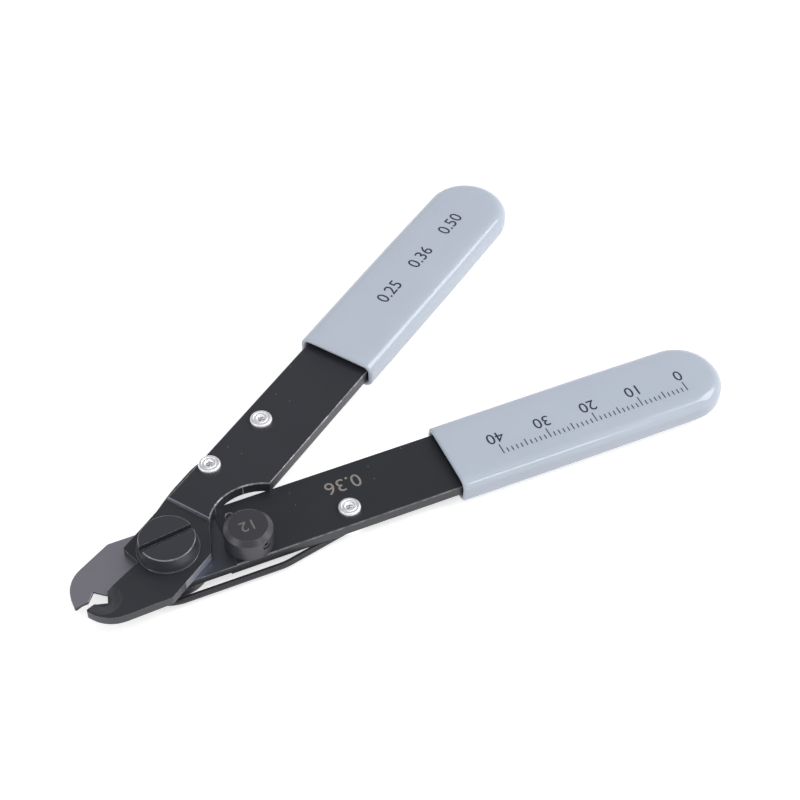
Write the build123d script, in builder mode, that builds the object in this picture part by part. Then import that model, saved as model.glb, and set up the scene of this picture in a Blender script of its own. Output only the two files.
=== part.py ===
from build123d import *
import os
from math import asin, atan, atan2, cos, degrees, hypot, pi, radians, sin, sqrt, tan

os.makedirs("parts", exist_ok=True)

# Wire stripper, lying flat as on a bench, jaws towards -X and handles towards +X.
# The origin is on the pivot axis, at the height of the surface that the tool lies on.
# Each lever has its own frame: x along the lever towards its grip, y towards the
# lever's outer side, away from the other lever. The lower lever points to the -Y
# side of X and the upper one to the +Y side, so that they mirror each other.

# Stance of the two levers, and how far the upper one turns to close, in degrees
opening_angle = 34.1
closing_angle = 16.0

# Levers, stamped from steel plate
plate_thickness = 2.3
lever_width = 14.3
tang_length = 112.6
tang_corner = 5.5
edge_round = 0.3
shoulder_x = -4.2
shoulder_inset = 1.0
shoulder_corner = 0.4
step_x = 9.4
step_depth = 0.6
ground_x = 10.6
ground_depth = 0.12

# Jaws
lower_jaw_reach = 19.3
lower_jaw_back = -9.5
lower_jaw_front = 5.98
upper_jaw_set_back = 0.5
upper_jaw_back = -8.3
upper_jaw_front = 4.8
jaw_nose_radius = 6.6
jaw_back_corner = 1.2
jaw_tip_corner = 0.4
cutting_edge_offset = 3.0
cutting_edge_slope = 5.1
notch_set_back = 3.5
notch_lead = 8.1
notch_angle = 90.0
lower_relief_radius = 5.2
lower_relief_land = 3.0
lower_relief_depth = 1.0
upper_relief_radius = 3.3
upper_relief_land = 1.3
upper_relief_depth = 0.45

# Bay in the upper lever, whose edge comes down on the stop knob when the jaws close
bay_lead = 0.05
bay_drop = 3.8
bay_gap = 0.35
bay_side_x = 3.3

# Running and fitting clearances
plate_gap = 0.02
overlap_gap = 0.03
running_fit = 0.03
seat_fit = 0.02
wire_gap = 0.1

# Pivot
shoulder_radius = 3.0
shoulder_land = 0.5
thread_chamfer = 0.3
shoulder_relief = 0.1
head_base_radius = 5.6
head_taper = 0.35
head_height = 2.9
head_round = 0.25
slot_width = 1.4
slot_depth = 1.3
slot_angle = -10.4
washer_rim = 0.25
washer_thickness = 0.5
nut_across_flats = 9.0
nut_height = 1.6
nut_chamfer = 0.3
guide_gap = 0.2
guide_thickness = 1.7
guide_chamfer = 0.2

# Spring
wire_diameter = 1.3
leg_offset = 1.25
eye_turn = 270.0
leg_kink_x = 19.4
leg_kink_radius = 12.0
ramp_start_x = 1.6
ramp_lead = 6.0
ramp_radius = 8.0

# Rivets
rivet_x = 34.4
rivet_inset = 3.9
guide_rivet_x = 19.85
guide_rivet_inset = 2.15
rivet_head_radius = 2.16
rivet_head_height = 0.75
rivet_crown = 0.4
rivet_shank_radius = 1.2
rivet_tail_radius = 2.25
rivet_tail_height = 0.8
rivet_groove_radius = 1.35
rivet_groove_width = 0.3
rivet_groove_depth = 0.12
rivet_tail_corner = 0.3
mandrel_radius = 0.62
mandrel_sink = 0.3
mandrel_head_radius = 1.0
mandrel_head_height = 0.25

# Stop knob
stud_x = 15.1
stud_y = 2.61
stud_radius = 1.6
stud_flange_radius = 2.4
stud_flange_height = 0.8
knob_eccentricity = 0.65
knob_lobe_angle = 148.5
knob_radius = 4.6
knob_height = 4.7
knob_chamfer = 0.9
knob_roof = 1.1
set_screw_radius = 1.0
set_screw_height = 2.45
set_screw_angle = -88.0
set_screw_sink = 0.35
set_screw_socket = 0.9
set_screw_socket_depth = 1.2
index_mark_x = 13.3
index_mark_y = -4.1
index_mark_radius = 0.9
index_mark_depth = 0.15

# Grips, dipped vinyl sleeves
grip_start = 55.7
grip_end_wall = 2.4
grip_side_wall = 1.25
grip_face_wall = 1.95
grip_swell = 0.15
grip_widest_run = 23.2
grip_end_flat = 0.7
grip_edge_round = 2.5
grip_mouth_round = 0.5

# Heights of the stack, worked up from the surface that the tool lies on
half_opening = opening_angle / 2
guide_bottom = nut_height
guide_top = guide_bottom + guide_thickness
lower_bottom = guide_top - step_depth
lower_top = lower_bottom + plate_thickness
lower_ground = lower_top - ground_depth
upper_ground = lower_ground + plate_gap
upper_bottom = lower_top + overlap_gap
upper_top = upper_bottom + plate_thickness
upper_seat = upper_top - step_depth
washer_bottom = upper_seat + plate_gap
head_bottom = washer_bottom + washer_thickness
head_top = head_bottom + head_height
lower_wire_z = lower_bottom - wire_gap - wire_diameter / 2
upper_wire_z = upper_bottom - wire_gap - wire_diameter / 2

# Widths, radii and places that follow from the sizes above
half_width = lever_width / 2
upper_jaw_reach = lower_jaw_reach - upper_jaw_set_back
notch_radius = upper_jaw_reach - notch_set_back
thread_radius = shoulder_radius - shoulder_land
head_top_radius = head_base_radius - head_taper
washer_radius = head_base_radius + washer_rim
wire_radius = wire_diameter / 2
spring_loop_radius = half_width + leg_offset
guide_radius = spring_loop_radius - wire_radius - guide_gap
eye_radius = rivet_shank_radius + wire_gap + wire_radius
rivet_y = half_width - rivet_inset
guide_rivet_y = half_width - guide_rivet_inset
grip_reach = tang_length + grip_end_wall
grip_mouth_width = lever_width + 2 * grip_side_wall
grip_widest = grip_mouth_width + 2 * grip_swell
grip_widest_x = grip_reach - grip_widest_run
grip_corner = (grip_widest - grip_end_flat) / 2
grip_thickness = plate_thickness + 2 * grip_face_wall

# The stop stud as the upper lever meets it when closed, and the bay that clears the knob
stud_distance = hypot(stud_x, stud_y)
stud_closed_angle = radians(opening_angle - closing_angle) + atan2(stud_y, stud_x)
bay_x = stud_distance * cos(stud_closed_angle) + bay_lead
bay_y = -stud_distance * sin(stud_closed_angle) - bay_drop
bay_radius = knob_radius + knob_eccentricity + bay_gap + bay_drop


def lever_plane(side, height):
    """The lever's own frame at a height: side is -1 for the lower lever, +1 for the upper."""
    angle = radians(side * half_opening)
    return Plane(origin=(0, 0, height), x_dir=(cos(angle), sin(angle), 0), z_dir=(0, 0, 1))


def lever_point(side, x, y):
    """A point of a lever's frame, y towards its outer side, in the tool's frame."""
    angle = radians(side * half_opening)
    across = side * y
    return (x * cos(angle) - across * sin(angle), x * sin(angle) + across * cos(angle))


def cutting_edge_y(x):
    """Height of the cutting edge above the lever's axis, at a place along it."""
    start = shoulder_x - shoulder_inset
    return cutting_edge_offset + (start - x) * tan(radians(cutting_edge_slope))


def lever_corners(side, back, front, reach):
    """Corners of a lever's outline and the radius at each, from the shoulder round."""
    nose_y = cutting_edge_y(-reach) - front
    corners = [
        (shoulder_x, half_width),
        (tang_length, half_width),
        (tang_length, -half_width),
        (back, -half_width),
        (-reach, nose_y),
        (-reach, cutting_edge_y(-reach)),
        (shoulder_x - shoulder_inset, cutting_edge_offset),
    ]
    rounds = [
        shoulder_corner,
        tang_corner,
        tang_corner,
        jaw_back_corner,
        jaw_nose_radius,
        jaw_tip_corner,
        shoulder_corner,
    ]
    return [(x, side * y) for x, y in corners], rounds


def notch_corners(side):
    """The V-notch: its bottom, and two points well outside the cutting edge."""
    lead = pi - radians(notch_lead)
    bottom = (notch_radius * cos(lead), notch_radius * sin(lead))
    middle = pi / 2 - radians(cutting_edge_slope)
    arm = lever_width
    points = [bottom]
    for turn in (-notch_angle / 2, notch_angle / 2):
        way = middle + radians(turn)
        points.append((bottom[0] + arm * cos(way), bottom[1] + arm * sin(way)))
    return [(x, side * y) for x, y in points]


def relief_centre():
    """Centre of the round relief behind the notch, halfway up the V."""
    lead = pi - radians(notch_lead)
    x = notch_radius * cos(lead)
    y = notch_radius * sin(lead)
    return (x, (y + cutting_edge_y(x)) / 2)


notch_x, relief_y = relief_centre()
jaw_block = 2 * lower_jaw_reach

# Lower lever: plate with a rounded tang, stepped on its underside round the pivot
lower_stud = lever_point(-1, stud_x, stud_y)
lower_rivet_at = lever_point(-1, rivet_x, rivet_y)
upper_rivet_at = lever_point(1, rivet_x, rivet_y)
guide_rivet_at = lever_point(1, guide_rivet_x, guide_rivet_y)
lower_corners, lower_rounds = lever_corners(
    -1, lower_jaw_back, lower_jaw_front, lower_jaw_reach
)
with BuildPart() as lower_handle:
    with BuildSketch(lever_plane(-1, lower_bottom)):
        with BuildLine():
            FilletPolyline(*lower_corners, radius=lower_rounds, close=True)
        make_face()
    extrude(amount=plate_thickness)
    fillet(lower_handle.edges().group_by(Axis.Z)[-1], radius=edge_round)
    fillet(lower_handle.edges().group_by(Axis.Z)[0], radius=edge_round)
    # Step on the underside, where the spring guide and the nut sit
    with BuildSketch(lever_plane(-1, lower_bottom)):
        with Locations((step_x - jaw_block / 2, 0)):
            Rectangle(jaw_block, jaw_block)
    extrude(amount=step_depth, mode=Mode.SUBTRACT)
    # Face ground flat on top, where the upper lever slides on it
    with BuildSketch(lever_plane(-1, lower_ground)):
        with Locations((ground_x - jaw_block / 2, 0)):
            Rectangle(jaw_block, jaw_block)
    extrude(amount=ground_depth, mode=Mode.SUBTRACT)
    # V-notch in the jaw
    with BuildSketch(Plane.XY.offset(lower_bottom)):
        with BuildLine(lever_plane(-1, lower_bottom)):
            Polyline(*notch_corners(-1), close=True)
        make_face()
    extrude(amount=plate_thickness, mode=Mode.SUBTRACT)
    # Round relief round the notch, on the face away from the other jaw
    with BuildSketch(Plane.XY.offset(lower_bottom + step_depth)):
        with Locations(lever_point(-1, notch_x, relief_y)):
            Circle(lower_relief_radius)
    with BuildSketch(Plane.XY.offset(lower_bottom + step_depth + lower_relief_depth)):
        with Locations(lever_point(-1, notch_x, relief_y)):
            Circle(lower_relief_land)
    loft(mode=Mode.SUBTRACT)
    # Holes for the pivot, the rivet and the stop stud
    with BuildSketch(Plane.XY.offset(lower_bottom)):
        Circle(shoulder_radius + running_fit)
        with Locations(lower_rivet_at):
            Circle(rivet_shank_radius + seat_fit)
        with Locations(lower_stud):
            Circle(stud_radius + seat_fit)
    extrude(amount=plate_thickness, mode=Mode.SUBTRACT)
    with BuildSketch(Plane.XY.offset(lower_bottom)):
        with Locations(lower_stud):
            Circle(stud_flange_radius + seat_fit)
    extrude(amount=stud_flange_height + seat_fit, mode=Mode.SUBTRACT)
    # Small punched mark beside the knob, for setting it by
    with BuildSketch(Plane.XY.offset(lower_top)):
        with Locations(lever_point(-1, index_mark_x, index_mark_y)):
            Circle(index_mark_radius)
    extrude(amount=-index_mark_depth, taper=45, mode=Mode.SUBTRACT)
lower_handle.part.label = "lower_handle"
export_step(lower_handle.part, "parts/lower_handle.step")

# Upper lever: stepped on top round the pivot, and cut away in a bay for the stop knob
upper_corners, upper_rounds = lever_corners(
    1, upper_jaw_back, upper_jaw_front, upper_jaw_reach
)
bay_rise = sqrt(bay_radius**2 - (bay_x - step_x) ** 2)
with BuildPart() as upper_handle:
    with BuildSketch(lever_plane(1, upper_ground)):
        with BuildLine():
            FilletPolyline(*upper_corners, radius=upper_rounds, close=True)
        make_face()
        with Locations((bay_x, bay_y)):
            Circle(bay_radius, mode=Mode.SUBTRACT)
        with BuildLine():
            Polyline(
                (step_x, bay_y + bay_rise),
                (bay_side_x, -half_width),
                (bay_side_x, -lever_width),
                (bay_x, -lever_width),
                (bay_x, bay_y + bay_rise / 2),
                close=True,
            )
        make_face(mode=Mode.SUBTRACT)
    extrude(amount=upper_top - upper_ground)
    fillet(upper_handle.edges().group_by(Axis.Z)[-1], radius=edge_round)
    # The underside is clear of the lower lever, outside the ground face of the jaw
    with BuildSketch(lever_plane(1, upper_ground)):
        with Locations((step_x + tang_length / 2, 0)):
            Rectangle(tang_length, jaw_block)
    extrude(amount=upper_bottom - upper_ground, mode=Mode.SUBTRACT)
    # Step on top, where the screw's head and washer sit
    with BuildSketch(lever_plane(1, upper_seat)):
        with Locations((step_x - jaw_block / 2, 0)):
            Rectangle(jaw_block, jaw_block)
    extrude(amount=step_depth, mode=Mode.SUBTRACT)
    # V-notch in the jaw
    with BuildSketch(Plane.XY.offset(upper_ground)):
        with BuildLine(lever_plane(1, upper_ground)):
            Polyline(*notch_corners(1), close=True)
        make_face()
    extrude(amount=plate_thickness, mode=Mode.SUBTRACT)
    # Round relief round the notch, on the face away from the other jaw
    with BuildSketch(Plane.XY.offset(upper_seat)):
        with Locations(lever_point(1, notch_x, relief_y)):
            Circle(upper_relief_radius)
    with BuildSketch(Plane.XY.offset(upper_seat - upper_relief_depth)):
        with Locations(lever_point(1, notch_x, relief_y)):
            Circle(upper_relief_land)
    loft(mode=Mode.SUBTRACT)
    # Holes for the pivot and the two rivets
    with BuildSketch(Plane.XY.offset(upper_ground)):
        Circle(shoulder_radius + running_fit)
        with Locations(upper_rivet_at, guide_rivet_at):
            Circle(rivet_shank_radius + seat_fit)
    extrude(amount=plate_thickness + step_depth, mode=Mode.SUBTRACT)
upper_handle.part.label = "upper_handle"
export_step(upper_handle.part, "parts/upper_handle.step")


def grip_outline(half):
    """Corners of a grip's outline in its lever's frame, for half its width at the mouth."""
    return [
        (grip_start, -half),
        (grip_widest_x, -grip_widest / 2),
        (grip_reach, -grip_widest / 2),
        (grip_reach, grip_widest / 2),
        (grip_widest_x, grip_widest / 2),
        (grip_start, half),
    ]


grip_rounds = [0, grip_widest, grip_corner, grip_corner, grip_widest, 0]


def vinyl_grip(side, plate_bottom):
    """A closed sleeve, rounded all along, with a pocket that the lever's tang fills."""
    sleeve_bottom = plate_bottom + (plate_thickness - grip_thickness) / 2
    pocket_half = half_width + seat_fit
    pocket_end = tang_length + seat_fit
    along = Axis((0, 0, 0), lever_plane(side, 0).x_dir)
    with BuildPart() as sleeve:
        with BuildSketch(lever_plane(side, sleeve_bottom)):
            with BuildLine():
                FilletPolyline(*grip_outline(grip_mouth_width / 2), radius=grip_rounds, close=True)
            make_face()
        extrude(amount=grip_thickness)
        top_edges = sleeve.edges().group_by(Axis.Z)[-1].sort_by(along)
        bottom_edges = sleeve.edges().group_by(Axis.Z)[0].sort_by(along)
        fillet(top_edges[1:] + bottom_edges[1:], radius=grip_edge_round)
        fillet(sleeve.edges().group_by(along)[0], radius=grip_mouth_round)
        with BuildSketch(lever_plane(side, plate_bottom)):
            with BuildLine():
                FilletPolyline(
                    (0, -pocket_half),
                    (pocket_end, -pocket_half),
                    (pocket_end, pocket_half),
                    (0, pocket_half),
                    radius=[0, tang_corner, tang_corner, 0],
                    close=True,
                )
            make_face()
        extrude(amount=plate_thickness, mode=Mode.SUBTRACT)
    return sleeve.part


# Grips
lower_grip = vinyl_grip(-1, lower_bottom)
lower_grip.label = "lower_grip"
export_step(lower_grip, "parts/lower_grip.step")

upper_grip = vinyl_grip(1, upper_bottom)
upper_grip.label = "upper_grip"
export_step(upper_grip, "parts/upper_grip.step")

# Pivot screw: slotted head, a shoulder that the levers turn on, and a threaded end
shoulder_bottom = guide_top + shoulder_relief
with BuildPart() as pivot_screw:
    with BuildSketch():
        Circle(thread_radius)
    extrude(amount=shoulder_bottom)
    chamfer(pivot_screw.edges().group_by(Axis.Z)[0], length=thread_chamfer)
    with BuildSketch(Plane.XY.offset(shoulder_bottom)):
        Circle(shoulder_radius)
    extrude(amount=head_bottom - shoulder_bottom)
    with BuildSketch(Plane.XY.offset(head_bottom)):
        Circle(head_base_radius)
    with BuildSketch(Plane.XY.offset(head_top)):
        Circle(head_top_radius)
    loft()
    fillet(pivot_screw.edges().group_by(Axis.Z)[-1], radius=head_round)
    with BuildSketch(Plane.XY.offset(head_top)):
        Rectangle(2 * washer_radius, slot_width, rotation=slot_angle)
    extrude(amount=-slot_depth, mode=Mode.SUBTRACT)
pivot_screw.part.label = "pivot_screw"
export_step(pivot_screw.part, "parts/pivot_screw.step")

# Thin washer under the screw's head
with BuildPart() as head_washer:
    with BuildSketch(Plane.XY.offset(washer_bottom)):
        Circle(washer_radius)
        Circle(shoulder_radius + running_fit, mode=Mode.SUBTRACT)
    extrude(amount=washer_thickness)
head_washer.part.label = "head_washer"
export_step(head_washer.part, "parts/head_washer.step")

# Thick washer under the levers, which keeps the spring's loop round
with BuildPart() as spring_guide:
    with BuildSketch(Plane.XY.offset(guide_bottom)):
        Circle(guide_radius)
        Circle(thread_radius + seat_fit, mode=Mode.SUBTRACT)
    extrude(amount=guide_thickness)
    chamfer(spring_guide.edges().group_by(Axis.Z)[0].sort_by(SortBy.RADIUS)[-1], length=guide_chamfer)
spring_guide.part.label = "spring_guide"
export_step(spring_guide.part, "parts/spring_guide.step")

# Nut under the spring guide, flush with the screw's end
with BuildPart() as pivot_nut:
    with BuildSketch():
        RegularPolygon(radius=nut_across_flats / 2, side_count=6, major_radius=False)
        Circle(thread_radius + seat_fit, mode=Mode.SUBTRACT)
    extrude(amount=nut_height)
    chamfer(pivot_nut.edges().group_by(Axis.Z)[0].filter_by(GeomType.LINE), length=nut_chamfer)
pivot_nut.part.label = "pivot_nut"
export_step(pivot_nut.part, "parts/pivot_nut.step")


def eye_tangent():
    """Where the leg meets the eye round a rivet, and its direction, in a lever's frame."""
    across = rivet_y - spring_loop_radius
    along = rivet_x - leg_kink_x
    distance = hypot(along, across)
    heading = atan2(across, along) + asin(eye_radius / distance)
    run = sqrt(distance**2 - eye_radius**2)
    return (leg_kink_x + run * cos(heading), spring_loop_radius + run * sin(heading))


def spring_point(side, x, y, height):
    """A point of the spring's line, from a lever's frame."""
    return (*lever_point(side, x, y), height)


# Hairpin spring: an eye round each outer rivet, a leg along each lever's outer edge,
# and a loop round the pivot, under the jaws. The upper leg climbs to its own lever.
tangent_x, tangent_y = eye_tangent()
loop_corner = -spring_loop_radius / sin(radians(half_opening))
ramp_end_x = leg_kink_x - ramp_lead
spring_points = [
    spring_point(-1, tangent_x, tangent_y, lower_wire_z),
    spring_point(-1, leg_kink_x, spring_loop_radius, lower_wire_z),
    (loop_corner, 0, lower_wire_z),
    spring_point(1, ramp_start_x, spring_loop_radius, lower_wire_z),
    spring_point(1, ramp_end_x, spring_loop_radius, upper_wire_z),
    spring_point(1, leg_kink_x, spring_loop_radius, upper_wire_z),
    spring_point(1, tangent_x, tangent_y, upper_wire_z),
]
spring_bends = [leg_kink_radius, spring_loop_radius, ramp_radius, ramp_radius, leg_kink_radius]
eye_start = degrees(atan2(tangent_y - rivet_y, tangent_x - rivet_x))
with BuildPart() as hairpin_spring:
    with BuildLine() as spring_line:
        FilletPolyline(*spring_points, radius=spring_bends)
        CenterArc(
            (*lower_rivet_at, lower_wire_z), eye_radius, -eye_start - half_opening, eye_turn
        )
        CenterArc(
            (*upper_rivet_at, upper_wire_z), eye_radius, eye_start + half_opening, -eye_turn
        )
    spring_wire = spring_line.wires()[0]
    with BuildSketch(Plane(origin=spring_wire @ 0, z_dir=spring_wire % 0)):
        Circle(wire_radius)
    sweep(path=spring_wire)
hairpin_spring.part.label = "hairpin_spring"
export_step(hairpin_spring.part, "parts/hairpin_spring.step")


def blind_rivet(at, plate_top, tail_top):
    """Rivet body: a crowned head on the plate, a shank through it and an upset tail."""
    head_top_z = plate_top + rivet_head_height
    tail_bottom = tail_top - rivet_tail_height
    bore = mandrel_radius + seat_fit
    with BuildPart() as rivet:
        with BuildSketch(Plane(origin=(*at, 0), x_dir=(1, 0, 0), z_dir=(0, -1, 0))):
            with BuildLine():
                Polyline(
                    (bore, head_top_z),
                    (bore, tail_bottom),
                    (rivet_tail_radius - rivet_tail_corner, tail_bottom),
                    (rivet_tail_radius, tail_bottom + rivet_tail_corner),
                    (rivet_tail_radius, tail_top),
                    (rivet_shank_radius, tail_top),
                    (rivet_shank_radius, plate_top),
                    (rivet_head_radius, plate_top),
                    (rivet_head_radius, head_top_z - rivet_crown),
                )
                crown_middle = (bore + rivet_head_radius) / 2
                ThreePointArc(
                    (rivet_head_radius, head_top_z - rivet_crown),
                    (crown_middle + rivet_crown / 2, head_top_z - rivet_crown / 4),
                    (bore, head_top_z),
                )
            make_face()
        revolve(axis=Axis((*at, 0), (0, 0, 1)))
        with BuildSketch(Plane.XY.offset(head_top_z)):
            with Locations(at):
                Circle(rivet_groove_radius + rivet_groove_width / 2)
                Circle(rivet_groove_radius - rivet_groove_width / 2, mode=Mode.SUBTRACT)
        extrude(amount=-rivet_crown / 4 - rivet_groove_depth, mode=Mode.SUBTRACT)
    return rivet.part


def rivet_mandrel(at, plate_top, tail_top):
    """What is left of the pulled mandrel: a pin with its head under the rivet's tail."""
    tail_bottom = tail_top - rivet_tail_height
    pin_top = plate_top + rivet_head_height - mandrel_sink
    with BuildPart() as mandrel:
        with BuildSketch(Plane.XY.offset(tail_bottom - mandrel_head_height)):
            with Locations(at):
                Circle(mandrel_head_radius)
        extrude(amount=mandrel_head_height)
        with BuildSketch(Plane.XY.offset(tail_bottom)):
            with Locations(at):
                Circle(mandrel_radius)
        extrude(amount=pin_top - tail_bottom)
    return mandrel.part


# Rivets: two hold the spring's eyes, and one more guides its upper leg
lower_tail_top = lower_wire_z - wire_radius - wire_gap
upper_tail_top = upper_wire_z - wire_radius - wire_gap
rivet_places = [
    ("lower", lower_rivet_at, lower_top, lower_tail_top),
    ("upper", upper_rivet_at, upper_top, upper_tail_top),
    ("guide", guide_rivet_at, upper_top, upper_bottom),
]
for place, at, plate_top, tail_top in rivet_places:
    rivet_body = blind_rivet(at, plate_top, tail_top)
    rivet_body.label = place + "_rivet"
    export_step(rivet_body, "parts/" + rivet_body.label + ".step")
    mandrel_stub = rivet_mandrel(at, plate_top, tail_top)
    mandrel_stub.label = place + "_rivet_mandrel"
    export_step(mandrel_stub, "parts/" + mandrel_stub.label + ".step")

# Stop stud: a post set in the lower lever from below, with its flange sunk in the plate
knob_bottom = lower_top + plate_gap
knob_top = knob_bottom + knob_height
bore_top = knob_top - knob_roof
with BuildPart() as stop_stud:
    with BuildSketch(Plane.XY.offset(lower_bottom)):
        with Locations(lower_stud):
            Circle(stud_flange_radius)
    extrude(amount=stud_flange_height)
    with BuildSketch(Plane.XY.offset(lower_bottom)):
        with Locations(lower_stud):
            Circle(stud_radius)
    extrude(amount=bore_top - seat_fit - lower_bottom)
stop_stud.part.label = "stop_stud"
export_step(stop_stud.part, "parts/stop_stud.step")

# Stop knob: a round cap, off centre on its stud, so that turning it moves the stop
knob_at = lever_point(
    -1,
    stud_x + knob_eccentricity * cos(radians(knob_lobe_angle)),
    stud_y + knob_eccentricity * sin(radians(knob_lobe_angle)),
)
screw_way = (cos(radians(set_screw_angle)), sin(radians(set_screw_angle)))
screw_z = knob_bottom + set_screw_height
lobe_x = knob_at[0] - lower_stud[0]
lobe_y = knob_at[1] - lower_stud[1]
lobe_ahead = lobe_x * screw_way[0] + lobe_y * screw_way[1]
lobe_beside = lobe_x * screw_way[1] - lobe_y * screw_way[0]
wall_at_screw = lobe_ahead + sqrt(knob_radius**2 - lobe_beside**2)
screw_plane = Plane(
    origin=(*lower_stud, screw_z), x_dir=(-screw_way[1], screw_way[0], 0), z_dir=(*screw_way, 0)
)
with BuildPart() as stop_knob:
    with BuildSketch(Plane.XY.offset(knob_bottom)):
        with Locations(knob_at):
            Circle(knob_radius)
    extrude(amount=knob_height)
    chamfer(stop_knob.edges().group_by(Axis.Z)[-1], length=knob_chamfer)
    with BuildSketch(Plane.XY.offset(knob_bottom)):
        with Locations(lower_stud):
            Circle(stud_radius + running_fit)
    extrude(amount=bore_top - knob_bottom, mode=Mode.SUBTRACT)
    with BuildSketch(screw_plane):
        Circle(set_screw_radius + seat_fit)
    extrude(amount=2 * knob_radius, mode=Mode.SUBTRACT)
stop_knob.part.label = "stop_knob"
export_step(stop_knob.part, "parts/stop_knob.step")

# Set screw in the knob's side, with a hex socket
with BuildPart() as knob_set_screw:
    with BuildSketch(screw_plane.offset(stud_radius + running_fit)):
        Circle(set_screw_radius)
    extrude(amount=wall_at_screw - set_screw_sink - stud_radius - running_fit)
    with BuildSketch(screw_plane.offset(wall_at_screw - set_screw_sink)):
        RegularPolygon(radius=set_screw_socket / 2, side_count=6, major_radius=False)
    extrude(amount=-set_screw_socket_depth, mode=Mode.SUBTRACT)
knob_set_screw.part.label = "knob_set_screw"
export_step(knob_set_screw.part, "parts/knob_set_screw.step")

spring_length = spring_wire.length
ramp_angle = degrees(atan((upper_wire_z - lower_wire_z) / (ramp_end_x - ramp_start_x)))
print("spring wire", round(spring_length, 2), "mm long, ramp", round(ramp_angle, 2), "degrees")
print("spring bends", spring_bends, "mm, volume over length and section",
      round(hairpin_spring.part.volume / (spring_length * pi * wire_radius**2), 4))
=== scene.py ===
# %% [markdown]
# # A wire stripper, from bare CAD to a finished picture
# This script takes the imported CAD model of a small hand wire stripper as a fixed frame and
# gives it the surfaces of the real tool: oxide-blacked steel, a ground jaw, bright rivets,
# dark spring wire and dipped vinyl. The CAD pieces could be rebuilt from nothing, but they
# already have the right sizes and places, so they stay where they are. Only pieces that
# need softer or finer shapes are made again here.

from math import asin, atan2, cos, hypot, pi, radians, sin, sqrt, tan

import bmesh
import bpy
import numpy as np
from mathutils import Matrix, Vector


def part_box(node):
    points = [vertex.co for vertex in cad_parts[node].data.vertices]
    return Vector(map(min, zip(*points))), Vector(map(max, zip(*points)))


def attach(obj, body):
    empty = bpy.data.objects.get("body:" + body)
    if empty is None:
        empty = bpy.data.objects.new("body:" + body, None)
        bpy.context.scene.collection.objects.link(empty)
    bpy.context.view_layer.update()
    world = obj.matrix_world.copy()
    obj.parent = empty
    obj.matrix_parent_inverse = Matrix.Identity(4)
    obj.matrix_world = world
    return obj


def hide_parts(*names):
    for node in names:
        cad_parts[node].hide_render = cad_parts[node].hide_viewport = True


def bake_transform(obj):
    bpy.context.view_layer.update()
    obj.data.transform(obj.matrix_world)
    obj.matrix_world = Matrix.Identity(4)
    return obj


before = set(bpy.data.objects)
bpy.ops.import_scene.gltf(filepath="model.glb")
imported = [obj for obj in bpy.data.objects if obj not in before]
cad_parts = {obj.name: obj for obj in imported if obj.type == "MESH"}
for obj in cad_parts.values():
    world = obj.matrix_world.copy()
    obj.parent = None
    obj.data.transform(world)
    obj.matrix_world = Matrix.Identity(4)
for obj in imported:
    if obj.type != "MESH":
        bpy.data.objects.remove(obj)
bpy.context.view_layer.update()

# %% [markdown]
# ## Units and the two levers
# Blender works in metres and a toolmaker in millimetres, so every size here is written in
# millimetres and multiplied by `mm` only when it reaches a mesh. The levers lie 17 degrees
# to each side of the X axis. One function turns a point measured along and across a lever
# into the tool's own frame, so each piece can be shaped as if its lever lay straight.

# %% Units, lever angle and lever coordinates
mm = 0.001
per_mm = 1000.0
opening_angle = radians(34.1)
half_opening = opening_angle / 2


def lever_points(side, along, outward, height):
    """Points in the tool's frame, in mm: turn (along, side * outward) by the lever's angle.
    side is -1 for the lower lever and +1 for the upper one; outward is away from the other."""
    across = side * outward
    turn = side * half_opening
    x = along * np.cos(turn) - across * np.sin(turn)
    y = along * np.sin(turn) + across * np.cos(turn)
    return np.stack(np.broadcast_arrays(x, y, height), axis=-1)


def node_box(name):
    """Lowest and highest corner of a CAD node, in mm."""
    low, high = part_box(name)
    return np.array(low) * per_mm, np.array(high) * per_mm


def smooth(share):
    """0 to 1 with a level start and end: three times the square less twice the cube."""
    return share**2 * (3 - 2 * share)


upper_plate_top = node_box("upper_handle")[1][2]
lower_plate_top = node_box("lower_handle")[1][2]
print("plate tops at", round(lower_plate_top, 2), "and", round(upper_plate_top, 2), "mm")

# %% [markdown]
# ## Small helpers for meshes
# Every new piece is a grid of points: rows along the piece and columns round it, worked
# out as whole arrays. One function makes a closed mesh of such a grid. Open ends are
# closed by a fan of triangles to the middle of the last row, so no piece has a hole.

# %% Grid to mesh


def grid_faces(rows, columns):
    """Quads between neighbouring rows and columns, where the last column joins the first."""
    row, column = np.meshgrid(np.arange(rows - 1), np.arange(columns), indexing="ij")
    after = (column + 1) % columns
    corners = (
        row * columns + column,
        row * columns + after,
        (row + 1) * columns + after,
        (row + 1) * columns + column,
    )
    return np.stack(corners, axis=-1).reshape(-1, 4)


def closed_mesh(name, points, sharp_angle=40.0):
    """A closed object from rows x columns x 3 points in mm. Each end is closed by triangles
    to the mean of its row. Edges that turn more than sharp_angle degrees stay crisp."""
    rows, columns = points.shape[:2]
    ends = np.stack([points[0].mean(axis=0), points[-1].mean(axis=0)])
    vertices = np.concatenate([points.reshape(-1, 3), ends]) * mm
    ring = np.arange(columns)
    after = (ring + 1) % columns
    first = np.stack([np.full(columns, rows * columns), after, ring], axis=-1)
    base = (rows - 1) * columns
    last = np.stack([np.full(columns, rows * columns + 1), base + ring, base + after], axis=-1)
    faces = grid_faces(rows, columns).tolist() + first.tolist() + last.tolist()
    mesh = bpy.data.meshes.new(name)
    mesh.from_pydata(vertices.tolist(), [], faces)
    return finished_object(name, mesh, sharp_angle)


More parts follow.
